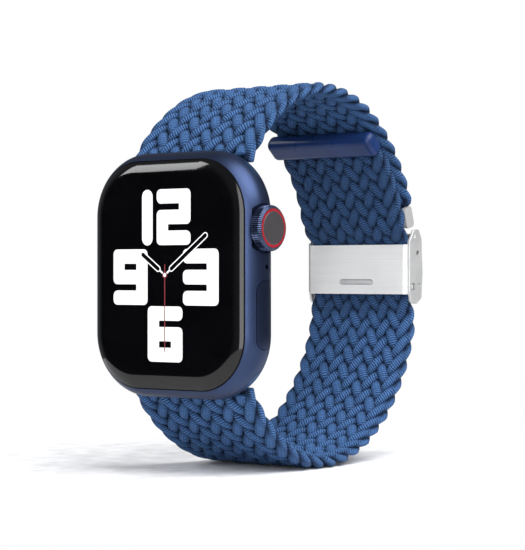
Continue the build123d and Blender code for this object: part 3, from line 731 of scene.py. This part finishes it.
# ---------------------------------------------------------------- dial shapes
# Numerals in millimetres on the display: left, right, low and high, then how the upper and the lower
# slot open.
NUMERALS = (
    ("dial_numeral_3", 4.2, 12.3, -5.35, 4.6, "left", "left"),
    ("dial_numeral_6", -4.0, 4.1, -15.4, -5.55, "right", "closed"),
    ("dial_numeral_9", -12.2, -4.05, -5.35, 4.6, "closed", "left"),
    ("dial_numeral_2", -1.9, 5.95, 5.3, 15.2, "left", "right"),
)
ONE_X, ONE_LOW, ONE_HIGH, ONE_RADIUS = -4.1 * MM, 6.5 * MM, 13.95 * MM, 1.25 * MM
NUMERAL_CORNER, SLOT_CORNER, BAR_TIP = 0.9 * MM, 0.12 * MM, 1.0 * MM

# Hands: where each tip points, and the widths of a hand and of its stem.
HANDS = (("hour", -5.6 * MM, 3.95 * MM), ("minute", 9.75 * MM, 7.25 * MM))
HAND_START, HAND_RADIUS, HAND_RIM, STEM_RADIUS = 1.9 * MM, 0.56 * MM, 0.19 * MM, 0.17 * MM
NEEDLE_TOP, NEEDLE_END, NEEDLE_RADIUS = 1.8 * MM, -13.5 * MM, 0.10 * MM
HUB_RADIUS, HUB_DOT_RADIUS, HUB_STEPS = 0.56 * MM, 0.34 * MM, 16
POINT = 0.001 * MM

# How far each kind of mark stands in front of the glass, and how deep all of them start in it.
PROUD = {
    "numeral": 0.012 * MM,
    "stem": 0.020 * MM,
    "hand": 0.022 * MM,
    "fill": 0.028 * MM,
    "needle": 0.034 * MM,
    "hub": 0.038 * MM,
    "dot": 0.042 * MM,
}
MARK_ROOT = 0.02 * MM
GLASS_LIMIT = -5.0 * MM


def round_corners(points, radii, steps=6):
    """A closed outline whose corners are arcs of the given radii."""
    out = []
    count = len(points)
    for i in range(count):
        p = Vector(points[i])
        back = Vector(points[i - 1]) - p
        ahead = Vector(points[(i + 1) % count]) - p
        radius = min(radii[i], back.length * 0.499, ahead.length * 0.499)
        a, b = p + back.normalized() * radius, p + ahead.normalized() * radius
        for k in range(steps + 1):
            t = k / steps
            angle = t * math.pi / 2
            w_a, w_b = 1 - math.sin(angle), 1 - math.cos(angle)
            out.append(p + (a - p) * w_a + (b - p) * w_b)
    return out


def flat_mark(name, outlines, y_front, y_back):
    """A thin flat mark facing -Y, from outlines in X and Z; later outlines are holes."""
    bm = bmesh.new()
    edges = []
    for outline in outlines:
        ring = [bm.verts.new((p[0], y_front, p[1])) for p in outline]
        edges += [bm.edges.new((ring[i], ring[(i + 1) % len(ring)])) for i in range(len(ring))]
    bmesh.ops.triangle_fill(bm, use_beauty=True, use_dissolve=False, edges=edges)
    extruded = bmesh.ops.extrude_face_region(bm, geom=list(bm.faces))
    moved = [g for g in extruded["geom"] if isinstance(g, bmesh.types.BMVert)]
    bmesh.ops.translate(bm, verts=moved, vec=(0, y_back - y_front, 0))
    bmesh.ops.recalc_face_normals(bm, faces=list(bm.faces))
    mesh = bpy.data.meshes.new(name)
    bm.to_mesh(mesh)
    bm.free()
    return mesh


def capsule(x0, z0, x1, z1, radius, steps=10):
    """The outline of a bar with round ends."""
    angle = math.atan2(z1 - z0, x1 - x0)
    out = []
    for k in range(steps + 1):
        a = angle - math.pi / 2 + math.pi * k / steps
        out.append((x1 + radius * math.cos(a), z1 + radius * math.sin(a)))
    for k in range(steps + 1):
        a = angle + math.pi / 2 + math.pi * k / steps
        out.append((x0 + radius * math.cos(a), z0 + radius * math.sin(a)))
    return out


def hooked_digit(left, right, low, high, stroke, slot, upper_side, lower_side):
    """A block numeral: three bars, with a slot between each pair that opens left, right or not at all."""
    outer, tight, tip = NUMERAL_CORNER, SLOT_CORNER, BAR_TIP
    bar = (high - low - 2 * slot) / 3
    lower_slot = (low + bar, low + bar + slot)
    upper_slot = (high - bar - slot, high - bar)
    points, radii = [], []

    def add(x, z, radius):
        points.append((x, z))
        radii.append(radius)

    def cut(edge, floor, first, last, first_radius, last_radius):
        add(edge, first, first_radius)
        add(floor, first, tight)
        add(floor, last, tight)
        add(edge, last, last_radius)

    add(left, low, outer)
    add(right, low, outer)
    if lower_side == "right":
        cut(right, left + stroke, lower_slot[0], lower_slot[1], tip, outer)
    if upper_side == "right":
        cut(right, left + stroke, upper_slot[0], upper_slot[1], outer, tip)
    add(right, high, outer)
    add(left, high, outer)
    if upper_side == "left":
        cut(left, right - stroke, upper_slot[1], upper_slot[0], tip, outer)
    if lower_side == "left":
        cut(left, right - stroke, lower_slot[1], lower_slot[0], outer, tip)
    outlines = [round_corners(points, radii)]
    for side, (z0, z1) in ((upper_side, upper_slot), (lower_side, lower_slot)):
        if side == "closed":
            hole = [(left + stroke, z0), (left + stroke, z1), (right - stroke, z1), (right - stroke, z0)]
            outlines.append(round_corners(hole, [tight] * 4))
    return outlines


# ---------------------------------------------------------------- operators
class BANDWATCH_OT_case(Operator):
    """Finish the case, its buttons, the crown and the lugs"""

    bl_idname = "bandwatch.case"
    bl_label = "Finish Case"

    def execute(self, context):
        looks = context.scene.bandwatch_case
        blue = blasted_metal("Anodised Body Blue", looks.anodised)
        dress("case_shell", blue)
        key = blasted_metal("Anodised Key Blue", shade(looks.anodised, 0.72), 0.4)
        for node in ("side_button", "upper_release_button", "lower_release_button"):
            dress(node, key)
        knob_low, knob_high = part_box("crown_knob")
        knob_centre = (knob_low + knob_high) / 2
        # Painted light: the knob is a lighter copy of the case's blue, standing in for reflections it
        # doesn't catch.
        lit_knob_blue = shade(looks.anodised, 1.45)
        dress("crown_knob", knurled_metal("Anodised Knob Blue", lit_knob_blue, knob_centre, looks.knob_teeth))
        lug = blasted_metal("Anodised Lug Blue", looks.lug, 0.42)
        for node in ("upper_lug", "lower_lug", "upper_lug_rivets", "lower_lug_rivets"):
            dress(node, lug)
        dress("crown_ring", moulded("Signal Ring Red", looks.crown_red, 0.25, 0.6))
        dress("crown_cap", moulded("Knob Cap Grey", looks.crown_cap, 0.38, 0.3))
        dress("back_crystal", moulded("Back Crystal", (0.010, 0.011, 0.016), 0.1, 0.0, grain=0.0))
        dress("back_trim_ring", moulded("Trim Ring Navy", (0.020, 0.026, 0.055), 0.3, 0.4))
        return {"FINISHED"}


class BANDWATCH_OT_glass(Operator):
    """Finish the cover glass and its seal"""

    bl_idname = "bandwatch.glass"
    bl_label = "Finish Glass"

    def execute(self, context):
        dress("cover_glass", black_glass("Cover Glass Black"))
        rubber = moulded("Seal Rubber", (0.0015, 0.0015, 0.0018), 0.7, grain=0.3, gloss=0.08)
        for node in ("display_gasket", "crown_seal", "side_button_seal"):
            dress(node, rubber)
        dress("display_panel", moulded("Display Layer Black", (0.006, 0.006, 0.008), 0.2, 0.5))
        return {"FINISHED"}


class BANDWATCH_OT_insides(Operator):
    """Finish the parts inside the case"""

    bl_idname = "bandwatch.insides"
    bl_label = "Finish Insides"

    def execute(self, context):
        board = circuit_board("Solder Mask Green", (0.012, 0.055, 0.030))
        dress("sensor_board", board)
        dress("logic_board", board)
        dress("charging_coil", wound_wire("Coil Copper", (0.72, 0.32, 0.15)))
        black = moulded("Module Black", (0.018, 0.018, 0.020), 0.5, grain=0.25)
        for node in (
            "haptic_motor", "speaker_module", "microphone", "crown_switch", "side_button_switch",
            "crown_encoder_disc",
        ):
            dress(node, black)
        dress("battery", moulded("Battery Foil", (0.10, 0.10, 0.11), 0.35, grain_scale=400.0, grain=0.4))
        dress("mid_frame", blasted_metal("Bracket Aluminium", (0.45, 0.46, 0.48), 0.4))
        steel = brushed_metal("Machined Steel", (0.52, 0.52, 0.53), 0.28)
        for node in (
            "frame_screws", "crown_shaft", "crown_push_plate", "upper_lug_latch", "lower_lug_latch",
            "clasp_grip_teeth",
        ):
            dress(node, steel)
        dress("crown_bushing", brushed_metal("Bushing Bronze", (0.55, 0.38, 0.18), 0.3))
        return {"FINISHED"}


class BANDWATCH_OT_dial(Operator):
    """Add the dial's numerals and hands"""

    bl_idname = "bandwatch.dial"
    bl_label = "Add Dial"

    def execute(self, context):
        dial = context.scene.bandwatch_dial
        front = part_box("cover_glass")[0].y
        if front > GLASS_LIMIT:
            raise RuntimeError("the cover glass isn't where the dial expects it")
        white = lit_print("Dial White", dial.numeral, 0.75)
        black = moulded("Dial Black", (0.0015, 0.0015, 0.002), 0.2)
        red = lit_print("Dial Red", dial.second_hand, 0.25)

        def mark(name, outlines, kind, mat):
            mesh = flat_mark(name, outlines, front - PROUD[kind], front + MARK_ROOT)
            build(name, mesh, "watch_head", "display_panel", mat)

        for name, *sides, upper_side, lower_side in NUMERALS:
            left, right, low, high = (side * MM for side in sides)
            outlines = hooked_digit(left, right, low, high, dial.stroke, dial.slot, upper_side, lower_side)
            mark(name, outlines, "numeral", white)
        mark("dial_numeral_1", [capsule(ONE_X, ONE_LOW, ONE_X, ONE_HIGH, ONE_RADIUS)], "numeral", white)
        for name, x, z in HANDS:
            reach = math.hypot(x, z)
            ux, uz = x / reach, z / reach
            x0, z0 = ux * HAND_START, uz * HAND_START
            x1, z1 = ux * (reach - HAND_RADIUS), uz * (reach - HAND_RADIUS)
            hand = f"dial_{name}_hand"
            mark(hand, [capsule(x0, z0, x1, z1, HAND_RADIUS)], "hand", white)
            mark(f"{hand}_stem", [capsule(0, 0, x0, z0, STEM_RADIUS)], "stem", white)
            mark(f"{hand}_fill", [capsule(x0, z0, x1, z1, HAND_RADIUS - HAND_RIM)], "fill", black)
        mark("dial_second_hand", [capsule(0, NEEDLE_TOP, 0, NEEDLE_END, NEEDLE_RADIUS)], "needle", red)
        mark("dial_hub", [capsule(0, 0, 0, POINT, HUB_RADIUS, HUB_STEPS)], "hub", red)
        mark("dial_hub_dot", [capsule(0, 0, 0, POINT, HUB_DOT_RADIUS, HUB_STEPS)], "dot", white)
        return {"FINISHED"}


class BANDWATCH_OT_braid(Operator):
    """Plait the two halves of the braided band"""

    bl_idname = "bandwatch.braid"
    bl_label = "Plait Band"

    def execute(self, context):
        band = context.scene.bandwatch_band
        yarn = braid_yarn("Braided Yarn Blue", band.yarn, band.yarn_painted_shade)
        for name, line, body, node, seed in (
            ("upper_braid", upper_line(band), "upper_band", "upper_strap", 4),
            ("lower_braid", lower_line(band), "lower_band", "lower_strap", 9),
        ):
            mesh = braid_mesh(name, band, line, LEAD_IN + LEAD_SPARE, line.length, seed)
            piece = build(name, mesh, body, "strap_fabric", yarn)
            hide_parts(node)
        return {"FINISHED"}


class BANDWATCH_OT_tail_cap(Operator):
    """Finish the moulded cap on the band's tail"""

    bl_idname = "bandwatch.tail_cap"
    bl_label = "Finish Tail Cap"

    def execute(self, context):
        band = context.scene.bandwatch_band
        dress("strap_tail_cap", moulded("Tail Cap Blue", band.cap, 0.3, 0.0, 300.0, 0.02, 0.22))
        return {"FINISHED"}


class BANDWATCH_OT_clasp(Operator):
    """Finish the clasp and the end ferrule"""

    bl_idname = "bandwatch.clasp"
    bl_label = "Finish Clasp"

    def execute(self, context):
        silver = context.scene.bandwatch_case.clasp
        # Painted shade: the frame, lever and ferrule take a darker copy of the clasp silver.
        satin_painted_shade = brushed_metal("Satin Clasp Silver Painted Shade", shade(silver, 0.88), 0.42, metallic=0.7)
        for node in ("clasp_frame", "clasp_lever", "end_ferrule"):
            dress(node, satin_painted_shade)
        # Painted light: the plate takes a lighter copy of the same silver.
        dress("clasp_base", brushed_metal("Satin Plate Silver Painted Light", shade(silver, 1.08), 0.45, metallic=0.45))
        dress("clasp_grip_liner", moulded("Grip Liner Grey", (0.42, 0.42, 0.43), 0.5, grain=0.3))
        pin = brushed_metal("Clasp Pin Steel", shade(silver, 0.8), 0.25)
        for node in ("lever_pin", "ferrule_pin", "clasp_detent_pins"):
            dress(node, pin)
        return {"FINISHED"}


# Softboxes: place and aim in metres, width and length in metres, and power in watts.
LIGHTS = (
    ("Overhead Softbox", (0.48, -0.02, 0.66), (0, 0.02, 0), (0.85, 0.85), 13.0),
    ("Left Key", (-0.56, -0.44, 0.50), (0, 0.0, 0), (0.22, 0.42), 2.6),
    ("Camera Side Softbox", (0.67, -0.62, 0.10), (0, 0.02, 0), (0.25, 0.5), 3.0),
    ("Right Softbox", (0.90, -0.22, 0.05), (0, 0.0, 0), (0.35, 0.8), 0.4),
    ("Front Strip", (0.44, -0.84, -0.02), (0, 0.0, 0), (0.20, 1.9), 6.6),
)
CAMERA_BEARING = math.radians(40.2)
CAMERA_TURN = math.radians(2.294)
CAMERA_DISTANCE = 0.350
CAMERA_CENTRE = (0, -0.00535, 0)
LENS = 127.767
SENSOR = 36.0
CLIP_START = 0.01
FLOOR_RADIUS = 0.11
FLOOR_CENTRE_Y = 0.02
FLOOR_RINGS, FLOOR_SIDES = 24, 96
ROOM_GREY = (0.19, 0.195, 0.205)
ROOM_DARK = (0.010, 0.010, 0.011)
DARK_SIDE = (-0.63, -0.77, 0.02)


class BANDWATCH_OT_stage(Operator):
    """Set up the floor, the lights and the camera"""

    bl_idname = "bandwatch.stage"
    bl_label = "Set Stage"

    def execute(self, context):
        scene = context.scene
        self.floor(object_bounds()[0].z)
        self.world(scene)
        for light in LIGHTS:
            self.softbox(*light)
        camera = bpy.data.objects.new("Camera", bpy.data.cameras.new("Camera"))
        scene.collection.objects.link(camera)
        away = Vector((math.sin(CAMERA_BEARING), -math.cos(CAMERA_BEARING), 0))
        camera.location = Vector(CAMERA_CENTRE) + CAMERA_DISTANCE * away
        turned = CAMERA_BEARING - CAMERA_TURN
        forward = Vector((-math.sin(turned), math.cos(turned), 0))
        camera.rotation_mode = "QUATERNION"
        camera.rotation_quaternion = forward.to_track_quat("-Z", "Y")
        camera.data.sensor_width = SENSOR
        camera.data.lens = LENS
        camera.data.clip_start = CLIP_START
        scene.camera = camera
        scene.view_settings.view_transform = "Standard"
        return {"FINISHED"}

    def floor(self, floor_z):
        """A pale disc under the watch."""
        bm = bmesh.new()
        rings, sides = FLOOR_RINGS, FLOOR_SIDES
        for r in range(1, rings + 1):
            radius = FLOOR_RADIUS * r / rings
            for k in range(sides):
                a = 2 * math.pi * k / sides
                bm.verts.new((radius * math.cos(a), FLOOR_CENTRE_Y + radius * math.sin(a), floor_z))
        bm.verts.ensure_lookup_table()
        for r in range(rings - 1):
            for k in range(sides):
                n = (k + 1) % sides
                bm.faces.new([bm.verts[r * sides + k], bm.verts[r * sides + n],
                              bm.verts[(r + 1) * sides + n], bm.verts[(r + 1) * sides + k]])
        bm.faces.new([bm.verts[k] for k in range(sides)])
        bmesh.ops.recalc_face_normals(bm, faces=list(bm.faces))
        mesh = bpy.data.meshes.new("Floor")
        bm.to_mesh(mesh)
        bm.free()
        floor = bpy.data.objects.new("Floor", mesh)
        bpy.context.scene.collection.objects.link(floor)
        mesh.materials.append(moulded("Floor White", (0.86, 0.86, 0.87), 0.8, grain=0.02))
        floor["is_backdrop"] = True

    def world(self, scene):
        """A white surround for the camera; the reflections see a grey room with one dark side."""
        world = bpy.data.worlds.new("Studio")
        world.use_nodes = True
        nodes, links = world.node_tree.nodes, world.node_tree.links
        back = nodes["Background"]
        place = nodes.new("ShaderNodeTexCoord")
        toward = nodes.new("ShaderNodeVectorMath")
        toward.operation = "DOT_PRODUCT"
        toward.inputs[1].default_value = DARK_SIDE
        links.new(place.outputs["Generated"], toward.inputs[0])
        room = spread(nodes, links, toward.outputs["Value"], 0.0, 1.0, 0.72, 0.90)
        tone = two_tone(nodes, links, room, ROOM_GREY, ROOM_DARK)
        path = nodes.new("ShaderNodeLightPath")
        mix = nodes.new("ShaderNodeMix")
        mix.data_type = "RGBA"
        mix.inputs["B"].default_value = (1.0, 1.0, 1.0, 1)
        links.new(path.outputs["Is Camera Ray"], mix.inputs["Factor"])
        links.new(tone, mix.inputs["A"])
        links.new(mix.outputs["Result"], back.inputs["Color"])
        scene.world = world

    def softbox(self, name, place, aim, size, power):
        """A soft rectangular light that the camera doesn't see."""
        light = bpy.data.lights.new(name, "AREA")
        light.shape = "RECTANGLE"
        light.size, light.size_y = size
        light.energy = power
        lamp = bpy.data.objects.new(name, light)
        bpy.context.scene.collection.objects.link(lamp)
        lamp.location = place
        lamp.rotation_mode = "QUATERNION"
        lamp.rotation_quaternion = (Vector(aim) - Vector(place)).to_track_quat("-Z", "Y")
        lamp.visible_camera = False


STEPS = (
    BANDWATCH_OT_case, BANDWATCH_OT_glass, BANDWATCH_OT_insides, BANDWATCH_OT_dial, BANDWATCH_OT_braid,
    BANDWATCH_OT_tail_cap, BANDWATCH_OT_clasp, BANDWATCH_OT_stage,
)


class BANDWATCH_PT_panel(Panel):
    """Lists the watch's pieces and their settings"""

    bl_idname = "BANDWATCH_PT_panel"
    bl_label = "Band Watch"
    bl_space_type = "VIEW_3D"
    bl_region_type = "UI"
    bl_category = "Band Watch"

    def draw(self, context):
        layout = self.layout
        scene = context.scene
        for group in (scene.bandwatch_band, scene.bandwatch_case, scene.bandwatch_dial):
            box = layout.box()
            for prop in group.bl_rna.properties:
                if prop.identifier not in ("rna_type", "name"):
                    box.prop(group, prop.identifier)
        for step in STEPS:
            layout.operator(step.bl_idname)


CLASSES = (BandSettings, CaseSettings, DialSettings, *STEPS, BANDWATCH_PT_panel)


def register():
    for cls in CLASSES:
        bpy.utils.register_class(cls)
    bpy.types.Scene.bandwatch_band = PointerProperty(type=BandSettings)
    bpy.types.Scene.bandwatch_case = PointerProperty(type=CaseSettings)
    bpy.types.Scene.bandwatch_dial = PointerProperty(type=DialSettings)


def unregister():
    del bpy.types.Scene.bandwatch_dial
    del bpy.types.Scene.bandwatch_case
    del bpy.types.Scene.bandwatch_band
    for cls in reversed(CLASSES):
        bpy.utils.unregister_class(cls)


def main():
    """Builds the whole watch."""
    register()
    for step in STEPS:
        group, action = step.bl_idname.split(".")
        getattr(getattr(bpy.ops, group), action)()


if __name__ == "__main__":
    main()
